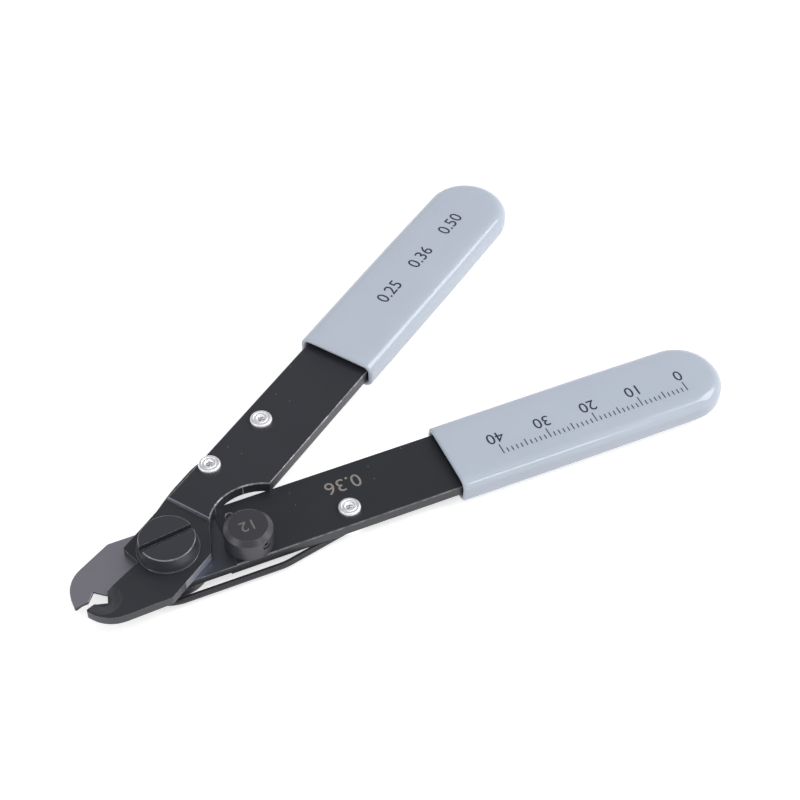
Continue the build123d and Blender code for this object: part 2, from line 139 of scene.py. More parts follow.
def finished_object(name, mesh, sharp_angle):
    """Turns the faces outwards, shades them smooth up to an angle and puts them in the scene."""
    work = bmesh.new()
    work.from_mesh(mesh)
    bmesh.ops.recalc_face_normals(work, faces=work.faces)
    work.to_mesh(mesh)
    work.free()
    mesh.polygons.foreach_set("use_smooth", np.ones(len(mesh.polygons), dtype=bool))
    mesh.set_sharp_from_angle(angle=radians(sharp_angle))
    made = bpy.data.objects.new(name, mesh)
    bpy.context.scene.collection.objects.link(made)
    return made


# %% [markdown]
# ## Small helpers for materials
# A colour is given as an sRGB hex value, but the shader works with linear light, so
# one function turns one into the other. A second function adds a shader node together
# with its settings and links. The rest are short names for what the materials use most:
# blends, smooth steps, products, noises and bumps.

# %% Colour and shader nodes


def linear(hex_colour):
    """sRGB hex to linear RGBA: a straight line below 0.04045, the 2.4 power curve above it."""
    srgb = np.array([int(hex_colour[i:i + 2], 16) for i in (1, 3, 5)]) / 255
    curve = ((srgb + 0.055) / 1.055) ** 2.4
    return (*np.where(srgb <= 0.04045, srgb / 12.92, curve), 1.0)


def plug(tree, node, inputs):
    """Each input, named or numbered, takes a value or another node's output."""
    for name, value in inputs.items():
        if isinstance(value, bpy.types.NodeSocket):
            tree.links.new(value, node.inputs[name])
        else:
            node.inputs[name].default_value = value


def add(tree, kind, inputs=None, **settings):
    """One shader node, with its settings and its inputs."""
    made = tree.nodes.new("ShaderNode" + kind)
    for name, value in settings.items():
        setattr(made, name, value)
    plug(tree, made, inputs or {})
    return made


def new_material(name):
    """A new material. Returns it, its node tree and its Principled shader."""
    material = bpy.data.materials.new(name)
    material.use_nodes = True
    return material, material.node_tree, material.node_tree.nodes["Principled BSDF"]


# %% Blends, steps, noises and bumps


def mixed_colour(tree, factor, first, second):
    """A colour between two, each a hex value or another node's output."""
    ends = [linear(c) if isinstance(c, str) else c for c in (first, second)]
    return add(tree, "Mix", {0: factor, 6: ends[0], 7: ends[1]}, data_type="RGBA").outputs[2]


def mixed_value(tree, factor, first, second):
    """A number between two, each a number or another node's output."""
    return add(tree, "Mix", {0: factor, 2: first, 3: second}).outputs[0]


def times(tree, first, second):
    """Product of two numbers."""
    return add(tree, "Math", {0: first, 1: second}, operation="MULTIPLY").outputs[0]


def larger(tree, first, second):
    """The larger of two numbers."""
    return add(tree, "Math", {0: first, 1: second}, operation="MAXIMUM").outputs[0]


def spread(tree, value, start, end, low=0.0, high=1.0, course="LINEAR"):
    """start where the value is low, end where it is high, in a straight line between."""
    return add(
        tree, "MapRange",
        {"Value": value, "From Min": low, "From Max": high, "To Min": start, "To Max": end},
        interpolation_type=course,
    ).outputs[0]


def step(tree, value, low, high, start=0.0, end=1.0):
    """start where the value is low, end where it is high, smooth in between."""
    return spread(tree, value, start, end, low, high, "SMOOTHSTEP")


def band(tree, value, rising, falling):
    """1 between two places, each given as the two ends of its slope, and 0 outside them."""
    return times(tree, step(tree, value, *rising), step(tree, value, *falling))


def noise(tree, place, size_mm, detail):
    """Soft random spots of a size in mm, half way between 0 and 1 on average."""
    return add(
        tree, "TexNoise", {"Vector": place, "Scale": 1 / size_mm, "Detail": detail}
    ).outputs["Fac"]


def bumped(tree, height, strength, depth_mm, normal=None):
    """A normal tilted by the slopes of a height, where 1 stands for depth_mm."""
    under = {} if normal is None else {"Normal": normal}
    return add(
        tree, "Bump", {"Height": height, "Strength": strength, "Distance": depth_mm * mm, **under}
    ).outputs[0]


def plugged(shader, name):
    """The output that feeds an input of the shader."""
    return shader.inputs[name].links[0].from_socket


# %% [markdown]
# ## The camera
# A camera is matched to a photograph by its place, its direction and its focal length.
# The focal length was found in pixels of the 800 pixel wide photograph, and a sensor of
# 36 mm turns it into a lens of 85.5 mm. The camera stands 35 cm from the pivot and looks
# down at 48 degrees, from in front of the jaws and from the lower lever's side. It needs
# no roll and no shift.

# %% Camera
image_pixels = 800
focal_pixels = 1900
sensor_width = 36.0
camera_place = (-108.3, -188.2, 280.1)
camera_direction = (0.4435, 0.5083, -0.7382)

camera_data = bpy.data.cameras.new("bench_camera")
camera_data.sensor_width = sensor_width
camera_data.lens = sensor_width * focal_pixels / image_pixels
camera = bpy.data.objects.new("bench_camera", camera_data)
camera.location = Vector(camera_place) * mm
camera.rotation_euler = Vector(camera_direction).to_track_quat("-Z", "Y").to_euler()
bpy.context.scene.collection.objects.link(camera)
bpy.context.scene.camera = camera
bpy.context.scene.view_settings.view_transform = "Standard"
print("lens", round(camera_data.lens, 1), "mm")

# %% [markdown]
# ## Light and table
# The tool is black and shiny at its edges, so what it mirrors matters more than how much
# light falls on it. Large soft lamps stand to the right, to the left and overhead, and a
# small one in front draws the thin bright line along each edge that faces the camera. The
# sky is bright near the horizon and dim overhead: flat tops mirror the dim part and stay
# black, while rounded edges catch the bright part as thin lines. The table is white. What
# the camera and mirrored rays see of it is lifted by a glow, which leaves the soft shadow
# under the tool in place.

# %% Lamps


def soft_lamp(name, place, target, size, watts):
    """A square area lamp of that size in metres, turned towards a target."""
    lamp_data = bpy.data.lights.new(name, "AREA")
    lamp_data.shape = "SQUARE"
    lamp_data.size = size
    lamp_data.energy = watts
    lamp = bpy.data.objects.new(name, lamp_data)
    lamp.location = place
    towards = Vector(target) - Vector(place)
    lamp.rotation_euler = towards.to_track_quat("-Z", "Y").to_euler()
    bpy.context.scene.collection.objects.link(lamp)


middle = (0.05, 0.0, 0.005)
soft_lamp("right_softbox", (0.57, -0.34, 0.56), middle, 0.48, 3.9)
soft_lamp("left_softbox", (-0.65, 0.10, 0.45), middle, 0.40, 1.2)
soft_lamp("top_softbox", (-0.15, -0.25, 0.95), middle, 0.60, 2.0)
soft_lamp("front_softbox", (0.16, -0.82, 0.60), middle, 0.18, 0.8)

# %% Sky
horizon_light = 1.0
overhead_light = 0.30
horizon_rise = 0.15
overhead_rise = 0.65
sky = bpy.data.worlds.new("studio_sky")
sky.use_nodes = True
bpy.context.scene.world = sky
sky_tree = sky.node_tree
direction = add(sky_tree, "TexCoord")
sky_rise = add(sky_tree, "SeparateXYZ", {0: direction.outputs["Generated"]})
sky_light = step(
    sky_tree, sky_rise.outputs["Z"], horizon_rise, overhead_rise, horizon_light, overhead_light
)
sky_path = add(sky_tree, "LightPath")
plug(sky_tree, sky_tree.nodes["Background"], {
    "Color": linear("#FFFFFF"),
    "Strength": mixed_value(sky_tree, sky_path.outputs["Is Camera Ray"], sky_light, 1.0),
})
print("sky:", sky.name)

# %% Table


def seen_directly(tree):
    """1 for rays of the camera and for mirrored or transmitted ones, else 0."""
    path = add(tree, "LightPath").outputs
    mirrored = larger(tree, path["Is Glossy Ray"], path["Is Transmission Ray"])
    return larger(tree, path["Is Camera Ray"], mirrored)


# Half the side of the table, in metres
table_half = 3.0
table_glow = 0.62
table_mesh = bpy.data.meshes.new("table")
table_mesh.from_pydata(
    [(-table_half, -table_half, 0), (table_half, -table_half, 0),
     (table_half, table_half, 0), (-table_half, table_half, 0)],
    [], [(0, 1, 2, 3)],
)
table = bpy.data.objects.new("table", table_mesh)
bpy.context.scene.collection.objects.link(table)

table_paint, table_tree, table_shader = new_material("white_laminate")
plug(table_tree, table_shader, {
    "Base Color": linear("#DADADA"),
    "Roughness": 0.9,
    "Emission Color": linear("#FFFFFF"),
    "Emission Strength": times(table_tree, seen_directly(table_tree), table_glow),
})
table_mesh.materials.append(table_paint)
print("table:", table_paint.name)

# %% [markdown]
# ## Blacked steel plate
# The levers are stamped from steel plate, tumbled and dipped in a hot oxide bath, which
# turns the skin to black magnetite. It is nearly black, a little blue, with a satin sheen
# and a fine grain from the tumbling. Where edges are handled the oxide rubs thin and grey
# steel shows, and the same light grey on the edges is also a painted edge highlight. The
# skin is porous and holds oil, so its IOR is only a little above that of plastic. The grain
# is a noise of fixed size in millimetres. The rubbed edges are found in two ways: a rounded
# edge is the only place that faces half upwards, and at a sharp corner the normal of a
# slightly rounded surface differs from the true one.

# %% Coordinates and rubbed edges


def lever_coordinates(tree, side):
    """Object coordinates in mm, turned so that X runs along a lever; side 0 leaves them.
    Also returns the normal in object coordinates, which isn't turned."""
    place = add(tree, "TexCoord")
    turned = add(
        tree, "Mapping",
        {"Vector": place.outputs["Object"], "Scale": (per_mm, per_mm, per_mm),
         "Rotation": (0, 0, -side * half_opening)},
    )
    return turned.outputs["Vector"], place.outputs["Normal"]


# How level a surface is, from a wall to an edge and from an edge to a flat top
wall_to_edge = (0.10, 0.30)
edge_to_top = (0.90, 0.99)
# Cosine between the true normal and the rounded one, beside a sharp corner and on it
beside_to_corner = (0.96, 0.85)
corner_rub = 0.9
corner_mm = 0.13


def levelness(tree, normal):
    """1 on level faces, 0 on upright ones: the size of the normal's upward part."""
    upward_part = add(tree, "SeparateXYZ", {0: normal}).outputs["Z"]
    return add(tree, "Math", {0: upward_part}, operation="ABSOLUTE").outputs[0]


def rounded_edges(tree, normal, slopes_rub):
    """corner_rub on sharp corners, and slopes_rub on edges between a flat top and an upright
    wall. Also returns the normal of the surface with its corners rounded by corner_mm."""
    level = levelness(tree, normal)
    slope = times(
        tree, step(tree, level, *wall_to_edge), step(tree, level, *edge_to_top, slopes_rub, 0.0)
    )
    eased = add(tree, "Bevel", {"Radius": corner_mm * mm}, samples=8).outputs[0]
    true = add(tree, "NewGeometry").outputs["Normal"]
    agree = add(tree, "VectorMath", {0: eased, 1: true}, operation="DOT_PRODUCT")
    corner = step(tree, agree.outputs["Value"], *beside_to_corner, 0.0, corner_rub)
    return larger(tree, slope, corner), eased


# %% Black oxide
oxide_ior = 1.55
cloud_mm = 9.0
patch_mm = 1.3
dust_cell_mm = 1.6
# Random value above which a cell holds a speck, and the speck's size as a share of the cell
dusty_cells = (0.88, 0.89)
speck_size = (0.055, 0.03)
# Rubbed edges are patchy: the least rub as a share, and the noise between which it grows
least_rub = 0.3
rub_patches = (0.35, 0.65)
bared_steel_and_highlight = "#A9A9B0"
dust = "#A4A6AC"


def black_oxide(name, side, dark, light, grain_mm=0.45, roughness=0.38, rubbing=0.75,
                slopes_rub=1.0):
    """Black oxide on tumbled steel. Returns the parts, so that a caller can add to them.
    Specks of dust are the rare cells of a Voronoi pattern whose random value is high,
    filled only within a tenth of a millimetre of the cell's own point."""
    material, tree, shader = new_material(name)
    place, normal = lever_coordinates(tree, side)
    clouds = noise(tree, place, cloud_mm, 3.0)
    grain = noise(tree, place, grain_mm, 4.0)
    patches = noise(tree, place, patch_mm, 2.0)
    edges, eased = rounded_edges(tree, normal, slopes_rub)
    rubbed = spread(tree, patches, least_rub * rubbing, rubbing, *rub_patches)
    # Rubbed edges: partly worn steel, partly a painted edge highlight
    wear_and_highlight = times(tree, edges, rubbed)
    cells = add(
        tree, "TexVoronoi", {"Vector": place, "Scale": 1 / dust_cell_mm}, voronoi_dimensions="2D"
    ).outputs
    speck = times(
        tree, step(tree, cells["Color"], *dusty_cells), step(tree, cells["Distance"], *speck_size)
    )
    skin = mixed_colour(tree, clouds, dark, light)
    worn_and_highlit = mixed_colour(tree, wear_and_highlight, skin, bared_steel_and_highlight)
    plug(tree, shader, {
        "Base Color": mixed_colour(tree, speck, worn_and_highlit, dust),
        "Metallic": wear_and_highlight,
        "Roughness": spread(tree, grain, roughness - 0.06, roughness + 0.08),
        "Normal": bumped(tree, grain, 0.35, 0.006, eased),
        "IOR": oxide_ior,
    })
    return material, tree, shader, place, normal


# %% Upper plate
upper_plate_steel, tree, shader, place, normal = black_oxide(
    "black_oxide_upper_plate", 1, "#25262C", "#2B2C33"
)
spot = add(tree, "SeparateXYZ", {0: place}).outputs
# The coined step across the upper lever gets a painted highlight all along, with some wear on its
# edge
step_along = 9.4
step_rises = (step_along - 0.30, step_along - 0.15)
step_falls = (step_along + 0.30, step_along + 0.12)
step_foot = (upper_plate_top - 0.62, upper_plate_top - 0.55)
step_highlight = times(
    tree, band(tree, spot["X"], step_rises, step_falls), step(tree, spot["Z"], *step_foot)
)
# The upright flank beside the front jaw, from the shoulder to the bay, gets a painted highlight too
flank_rises = (-4.5, -4.3)
flank_falls = (3.6, 3.4)
flank_side = (-6.9, -7.05)
flank_upright = (0.3, 0.1)
on_side = times(
    tree, step(tree, spot["Y"], *flank_side), step(tree, levelness(tree, normal), *flank_upright)
)
flank_highlight = times(tree, band(tree, spot["X"], flank_rises, flank_falls), on_side)
painted_highlight = larger(tree, step_highlight, flank_highlight)
# Both painted highlights are a light metallic grey over the black plate
plug(tree, shader, {
    "Base Color": mixed_colour(tree, painted_highlight, plugged(shader, "Base Color"), "#9293A0"),
    "Metallic": mixed_value(tree, painted_highlight, plugged(shader, "Metallic"), 0.6),
})
print("upper plate:", upper_plate_steel.name)

# %% [markdown]
# ## The ground jaw
# After blacking, the lower lever's top is ground flat round the pivot, where the upper
# lever slides on it. Grinding cuts the oxide away and leaves bare grey steel with fine
# straight scratches. The ground patch could be a second piece, but it is the same plate,
# so it is a mask in the plate's material: near the pivot, at the ground height, facing up.
# Behind the pivot the bare steel is painted darker than on the jaw: that is painted shade.

# %% Lower plate, with its ground face
ground_along = 10.6
ground_blur = 0.05
ground_height = 4.88
ground_foot = (ground_height - 0.3, ground_height - 0.1)
scratch_turn = radians(62)
scratch_stretch = (0.3, 6.0, 1.0)
pivot_shade_span = (-4.0, 5.0)
lower_plate_steel, tree, shader, place, normal = black_oxide(
    "black_oxide_lower_plate", -1, "#1D1F24", "#25272D", rubbing=0.40
)
spot = add(tree, "SeparateXYZ", {0: place}).outputs
facing = add(tree, "SeparateXYZ", {0: normal}).outputs
near_pivot = step(tree, spot["X"], ground_along + ground_blur, ground_along - ground_blur)
at_height = step(tree, spot["Z"], *ground_foot)
ground = times(
    tree, times(tree, near_pivot, at_height), step(tree, facing["Z"], *edge_to_top)
)
scratch_place = add(
    tree, "Mapping",
    {"Vector": place, "Rotation": (0, 0, scratch_turn), "Scale": scratch_stretch},
)
scratches = noise(tree, scratch_place.outputs[0], 1.0, 5.0)
clean = mixed_colour(tree, scratches, "#A3A1AD", "#AFADB8")
# Painted shade: the ground steel is made darker grey behind the pivot
ground_steel_and_shade = mixed_colour(tree, step(tree, spot["X"], *pivot_shade_span), clean, "#62656F")
plug(tree, shader, {
    "Base Color": mixed_colour(tree, ground, plugged(shader, "Base Color"), ground_steel_and_shade),
    "Metallic": mixed_value(tree, ground, plugged(shader, "Metallic"), 1.0),
    "Roughness": mixed_value(tree, ground, plugged(shader, "Roughness"), 0.42),
})
print("lower plate:", lower_plate_steel.name)

# %% [markdown]
# ## Turned and blacked parts
# The screw, its washer, the nut, the spring guide and the stop knob are cut on a lathe
# before they are blacked. The tool leaves fine rings round the axis of each part. They
# are worked out from the distance to that axis, as a sine wave with the feed of the lathe
# tool as its length, and only flat ends show them.

# %% Turned black oxide
feed_mm = 0.18
ring_depth = 0.004
turned_grain_mm = 0.25


def turned_oxide(name, axis, dark, light, roughness=0.36, rubbing=0.5, slopes_rub=0.0):
    """Black oxide over lathe rings: a sine of the distance from the axis, in mm."""
    material, tree, shader, place, normal = black_oxide(
        name, 0, dark, light, turned_grain_mm, roughness, rubbing, slopes_rub
    )
    flat = add(
        tree, "Mapping",
        {"Vector": place, "Location": (-axis[0], -axis[1], 0), "Scale": (1, 1, 0)},
    )
    distance = add(tree, "VectorMath", {0: flat.outputs[0]}, operation="LENGTH")
    phase = times(tree, distance.outputs["Value"], 2 * pi / feed_mm)
    rings = add(tree, "Math", {0: phase}, operation="SINE").outputs[0]
    grained = plugged(shader, "Normal")
    plug(tree, shader, {"Normal": bumped(tree, rings, 0.5, ring_depth, grained)})
    return material


knob_low, knob_high = node_box("stop_knob")
knob_axis = (knob_low + knob_high) / 2
# The screw's rims are rubbed strongly: partly wear, partly a painted rim highlight
screw_steel = turned_oxide(
    "turned_black_oxide_screw", (0, 0), "#2B2D33", "#32343A", rubbing=0.85, slopes_rub=0.7
)
knob_steel = turned_oxide(
    "turned_black_oxide_knob", knob_axis[:2], "#313136", "#38383D", roughness=0.34
)
# So are the washer's rims: partly wear, partly a painted rim highlight
washer_steel = turned_oxide(
    "burnished_washer", (0, 0), "#3A3B41", "#44454B", roughness=0.30, rubbing=0.9
)
print("knob axis at", np.round(knob_axis[:2], 2))

# %% [markdown]
# ## Rivets, mandrels and spring wire
# The rivets are plain aluminium, headed in a polished die and then scuffed by the pull of
# the riveting tool. The stub of the mandrel in the middle is broken steel. The spring is
# drawn wire, dark from its heat treatment, with fine lines along its length, which follow
# the wire's own UV map.

# %% Bright metals and wire


def bare_metal(name, dark, light, roughness, dent_mm, dent_depth):
    """A bare metal with uneven shine and shallow dents of a size in mm."""
    material, tree, shader = new_material(name)
    dents = noise(tree, lever_coordinates(tree, 0)[0], dent_mm, 3.0)
    plug(tree, shader, {
        "Base Color": mixed_colour(tree, dents, dark, light),
        "Metallic": 1.0,
        "Roughness": spread(tree, dents, roughness - 0.08, roughness + 0.12),
        "Normal": bumped(tree, dents, 0.6, dent_depth),
    })
    return material


rivet_aluminium = bare_metal("headed_aluminium", "#ECECF2", "#FAFAFD", 0.48, 0.6, 0.02)
mandrel_steel = bare_metal("broken_mandrel_steel", "#A9A9B0", "#D2D2D8", 0.42, 0.3, 0.04)

wire_steel, tree, shader = new_material("heat_darkened_spring_wire")
wire_map = add(tree, "TexCoord")
drawn = add(
    tree, "Mapping", {"Vector": wire_map.outputs["UV"], "Scale": (30.0, 14.0, 1.0)}
)
lines = noise(tree, drawn.outputs[0], 1.0, 4.0)
plug(tree, shader, {
    "Base Color": mixed_colour(tree, lines, "#333337", "#48484D"),
    "Metallic": 0.7,
    "Roughness": 0.42,
    "Normal": bumped(tree, lines, 0.3, 0.01),
})
print("metals:", rivet_aluminium.name, mandrel_steel.name, wire_steel.name)

# %% [markdown]
# ## Dipped vinyl
# The grips are plastisol: a hot handle is dipped in liquid vinyl, which gels into a soft
# pale blue-grey skin. It is smooth and softly glossy, and slightly uneven, as a thick
# liquid leaves it. Two noises do that: long shallow waves for the flow of the dip, and a
# very fine orange peel that spreads the highlights.

# %% Vinyl
wave_mm = 14
peel_mm = 0.8
vinyl_ior = 1.52


def dipped_vinyl(name, side, colour, shade):
    """Soft vinyl skin: long waves of flow under a fine orange peel."""
    material, tree, shader = new_material(name)
    place = lever_coordinates(tree, side)[0]
    waves = noise(tree, place, wave_mm, 1.0)
    peel = noise(tree, place, peel_mm, 2.0)
    flowed = bumped(tree, waves, 0.5, 0.25)
    plug(tree, shader, {
        "Base Color": mixed_colour(tree, waves, shade, colour),
        "Roughness": spread(tree, peel, 0.12, 0.18),
        "Normal": bumped(tree, peel, 0.25, 0.008, flowed),
        "IOR": vinyl_ior,
        "Subsurface Weight": 0.06,
        "Subsurface Radius": (1.0, 1.0, 1.0),
        "Subsurface Scale": 0.8 * mm,
    })
    return material


upper_vinyl = dipped_vinyl("dipped_vinyl_upper", 1, "#B9C1CE", "#B0B9C6")
lower_vinyl = dipped_vinyl("dipped_vinyl_lower", -1, "#B7BFCC", "#AEB7C4")
print("vinyl:", upper_vinyl.name, lower_vinyl.name)

# %% [markdown]
# ## Dress the CAD pieces
# A carried-over piece keeps its mesh and only gets a better finish in its material slot.

# %% Finishes of the CAD nodes
finishes = {
    "lower_handle": lower_plate_steel,
    "upper_handle": upper_plate_steel,
    "pivot_screw": screw_steel,
    "head_washer": washer_steel,
    "spring_guide": screw_steel,
    "pivot_nut": screw_steel,
    "stop_stud": knob_steel,
    "stop_knob": knob_steel,
    "knob_set_screw": screw_steel,
}
for node_name, finish in finishes.items():
    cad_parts[node_name].material_slots[0].material = finish
print("dressed:", len(finishes), "CAD nodes")

# %% [markdown]
# ## The grips
# Each grip is a sleeve: a round lip at its mouth, a thin wall that stands a little off the
# steel there, and a skin that follows the handle to a rounded end. It could be a box with
# a subdivision surface, but a section carried along the lever gives exact control. The
# section is a rounded rectangle, a little crowned, because thick liquid draws back from
# an edge. Its half width, half height, edge radius and crown change from row to row,
# first inside the mouth, then round the lip, then along the outside, and last round the
# end, where the width follows a circle. The height near an edge depends only on the
# distance to the outline seen from above, so the rounding runs on evenly round the end.

# %% Grip sizes and section
grip_start = 55.7
grip_end = 115.0
mouth_half = 8.38
widest_half = 8.53
widest_along = 91.8
grip_corner = 8.45
edge_along = (grip_start, 90.0, grip_end)
edge_round = (1.85, 2.0, 2.4)
crown = 0.10
crown_reach = 4.7
grip_half_height = 2.95
inner_round = 0.85
wall = 1.0
pocket_depth = 6.5
plate_half = (7.17, 1.16)


def rounded_section(arc_steps=10, long_steps=22, short_steps=4):
    """Corner signs S and unit normals C of a rounded rectangle, so that a point of it is
    S * (half size - radius) + radius * C. Arcs turn C, straight runs slide S."""
    signs, normals = [], []
    corners = np.array([(1, 1), (-1, 1), (-1, -1), (1, -1)], dtype=float)
    for number, steps in enumerate((long_steps, short_steps, long_steps, short_steps)):
        corner = corners[number]
        following = corners[(number + 1) % 4]
        angles = pi / 2 * (number + np.linspace(0, 1, arc_steps))
        share = np.linspace(0, 1, steps + 2)[1:-1, None]
        facing = np.array([cos(pi / 2 * (number + 1)), sin(pi / 2 * (number + 1))])
        signs.append(np.repeat(corner[None], arc_steps, axis=0))
        signs.append(corner + (following - corner) * share)
        normals.append(np.stack([np.cos(angles), np.sin(angles)], axis=-1))
        normals.append(np.repeat(facing[None], steps, axis=0))
    return np.concatenate(signs), np.concatenate(normals)


print("grip section:", len(rounded_section()[0]), "points")

# %% Grip rows


def grip_half_width(along):
    """Half the grip's width: it swells gently from the mouth to its widest place."""
    share = np.clip((along - grip_start) / (widest_along - grip_start), 0, 1)
    return mouth_half + (widest_half - mouth_half) * np.sin(share * pi / 2)


def grip_rows():
    """Row by row: place along the lever, half width, half height, edge radius and crown."""
    inner_half = mouth_half - wall
    inner_height = grip_half_height - wall
    lip_round = wall / 2
    deep = np.linspace(1, 0, 12)
    flare = 1 - smooth(deep)
    inside = np.stack([
        grip_start + lip_round + deep * pocket_depth,
        plate_half[0] + (inner_half - plate_half[0]) * flare,
        plate_half[1] + (inner_height - plate_half[1]) * flare,
        np.full_like(deep, inner_round),
        np.zeros_like(deep),
    ])
    turn = np.linspace(0, pi, 10)[1:-1]
    lip = np.stack([
        grip_start + lip_round * (1 - np.sin(turn)),
        inner_half + lip_round * (1 - np.cos(turn)),
        inner_height + lip_round * (1 - np.cos(turn)),
        inner_round + (edge_round[0] - inner_round) * (1 - np.cos(turn)) / 2,
        crown * (1 - np.cos(turn)) / 2,
    ])
    body_along = np.linspace(grip_start + lip_round, grip_end - grip_corner, 90)
    body_half = grip_half_width(body_along)
    body = np.stack([
        body_along,
        body_half,
        np.full_like(body_along, grip_half_height),
        np.interp(body_along, edge_along, edge_round),
        np.full_like(body_along, crown),
    ])
    sweep = np.linspace(0, pi / 2, 40)[1:]
    end_along = grip_end - grip_corner * (1 - np.sin(sweep))
    end = np.stack([
        end_along,
        widest_half - grip_corner * (1 - np.cos(sweep)),
        np.full_like(end_along, grip_half_height),
        np.interp(end_along, edge_along, edge_round),
        np.full_like(end_along, crown),
    ])
    return np.concatenate([inside, lip, body, end], axis=1)


print("grip rows:", grip_rows().shape[1])

# %% Both sleeves


def grip_points(side, middle_height):
    """Grid of a grip: every row's size applied to the section. The height follows a quarter
    circle of the distance to the outline as seen from above, and the crown takes off a
    share that grows with the square of the nearness to that outline."""
    along, half, height, radius, fall = (values[:, None] for values in grip_rows())
    signs, normals = rounded_section()
    beside = np.minimum(radius, half)
    outward = signs[:, 0] * (half - beside) + normals[:, 0] * beside
    past = along - (grip_end - grip_corner)
    aside = np.maximum(np.abs(outward) - (widest_half - grip_corner), 0)
    inset = np.where(past > 0, grip_corner - np.hypot(past, aside), half - np.abs(outward))
    inset = np.maximum(inset, 0)
    arc = np.sqrt(radius**2 - (radius - np.minimum(inset, radius)) ** 2)
    up = signs[:, 1] * (height - radius) + np.sign(normals[:, 1]) * arc
    nearness = np.clip(1 - inset / crown_reach, 0, 1)
    up = up * (1 - fall * nearness**2)
    return lever_points(side, along, outward, middle_height + up)


def mesh_top(made):
    """Highest point of a piece whose mesh is in the tool's frame, in mm."""
    corners = np.empty(len(made.data.vertices) * 3, dtype=np.float32)
    made.data.vertices.foreach_get("co", corners)
    return corners[2::3].max() * per_mm


grips = {}
for side, name, body, finish in (
    (-1, "lower", "lower_lever", lower_vinyl),
    (1, "upper", "upper_lever", upper_vinyl),
):
    low, high = node_box(name + "_grip")
    points = grip_points(side, (low[2] + high[2]) / 2)
    sleeve = closed_mesh(name + "_vinyl_sleeve", points, 70.0)
    sleeve.data.materials.append(finish)
    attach(sleeve, body)
    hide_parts(name + "_grip")
    grips[name] = sleeve
    print(sleeve.name, len(sleeve.data.polygons), "faces")

# %% [markdown]
# ## The hairpin spring
# A spring maker bends a straight wire through given angles after given lengths. The wire
# here is made the same way: its heading is the sum of the bends so far, and its place is
# the sum of the small steps in that heading. Only one half needs working out, from the
# middle of the loop to the eye, because the other half is its mirror image. The upper
# half also climbs to its lever. A ring of points is then carried along the wire.

# %% Route of the wire
wire_round = 0.65
loop_round = 8.4
kink_along = 19.4
kink_round = 12.0
eye_round = 1.95
eye_turn = radians(270)
# Where the upper half climbs to its lever, in mm past the loop
climb = (0.8, 14.2)
lower_wire_height = 1.95
upper_wire_height = 4.28
wire_step = 0.15
wire_columns = 20
# Share of the wire's section left at its cut ends; it grows to the whole within 0.4 mm
end_share = 0.6


def lever_place(side, node_name):
    """Middle of a node, as places along and outward on its lever."""
    low, high = node_box(node_name)
    x, y = ((low + high) / 2)[:2]
    turn = side * half_opening
    return x * cos(turn) + y * sin(turn), side * (y * cos(turn) - x * sin(turn))


def half_spring():
    """From the loop's middle to the eye's end, as seen from above: distances along the wire,
    x and y there, and the distance at which the loop ends."""
    rivet_along, rivet_outward = lever_place(1, "upper_rivet")
    across = rivet_outward - loop_round
    reach = hypot(rivet_along - kink_along, across)
    kink_turn = -atan2(across, rivet_along - kink_along) - asin(eye_round / reach)
    kink_cut = kink_round * tan(kink_turn / 2)
    loop_turn = pi / 2 - half_opening
    lengths = np.array([
        loop_round * loop_turn,
        kink_along - kink_cut,
        kink_round * kink_turn,
        sqrt(reach**2 - eye_round**2) - kink_cut,
        eye_round * eye_turn,
    ])
    turns = np.array([loop_turn, 0, kink_turn, 0, eye_turn])
    ends = np.concatenate([[0], np.cumsum(lengths)])
    turned = np.concatenate([[0], np.cumsum(turns)])
    distance = np.linspace(0, ends[-1], int(ends[-1] / wire_step))
    step_length = distance[1]
    heading = pi / 2 - np.interp(distance[1:] - step_length / 2, ends, turned)
    x = -loop_round + np.concatenate([[0], np.cumsum(np.cos(heading))]) * step_length
    y = np.concatenate([[0], np.cumsum(np.sin(heading))]) * step_length
    return distance, x, y, lengths[0]


distance, half_x, half_y, loop_length = half_spring()
share = np.clip((distance - loop_length - climb[0]) / (climb[1] - climb[0]), 0, 1)
rise = (upper_wire_height - lower_wire_height) * smooth(share)
lower_line = np.stack([half_x, -half_y, np.full_like(half_x, lower_wire_height)], axis=-1)
upper_line = np.stack([half_x, half_y, lower_wire_height + rise], axis=-1)
wire_line = np.concatenate([lower_line[:0:-1], upper_line])
print("wire line:", len(wire_line), "points")

# %% Wire along its route
forward = np.gradient(wire_line, axis=0)
forward /= np.linalg.norm(forward, axis=1)[:, None]
sideways = np.cross((0, 0, 1), forward)
sideways /= np.linalg.norm(sideways, axis=1)[:, None]
upwards = np.cross(forward, sideways)
travelled = np.concatenate([distance[-1] - distance[:0:-1], distance[-1] + distance])
from_end = np.minimum(travelled, travelled[-1] - travelled)
thick = wire_round * np.sqrt(np.clip(end_share + from_end, 0, 1))
around = np.linspace(0, 2 * pi, wire_columns, endpoint=False)
turned = around[None, :, None]
ring = np.cos(turned) * sideways[:, None] + np.sin(turned) * upwards[:, None]
spring = closed_mesh(
    "hairpin_spring_wire", wire_line[:, None] + thick[:, None, None] * ring, 60.0
)
spring_map = spring.data.uv_layers.new(name="along_wire")
corner_vertices = np.empty(len(spring.data.loops), dtype=np.int32)
spring.data.loops.foreach_get("vertex_index", corner_vertices)
row_of = np.minimum(corner_vertices // wire_columns, len(wire_line) - 1)
column_of = corner_vertices % wire_columns
swing = 0.5 - 0.5 * np.cos(around[column_of])
spring_map.data.foreach_set(
    "uv", np.stack([travelled[row_of] / travelled[-1], swing], axis=-1).astype(np.float32).ravel()
)
spring.data.materials.append(wire_steel)
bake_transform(spring)
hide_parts("hairpin_spring")
wire_length = np.linalg.norm(np.diff(wire_line, axis=0), axis=1).sum()
print("spring wire", round(float(wire_length), 2), "mm long")

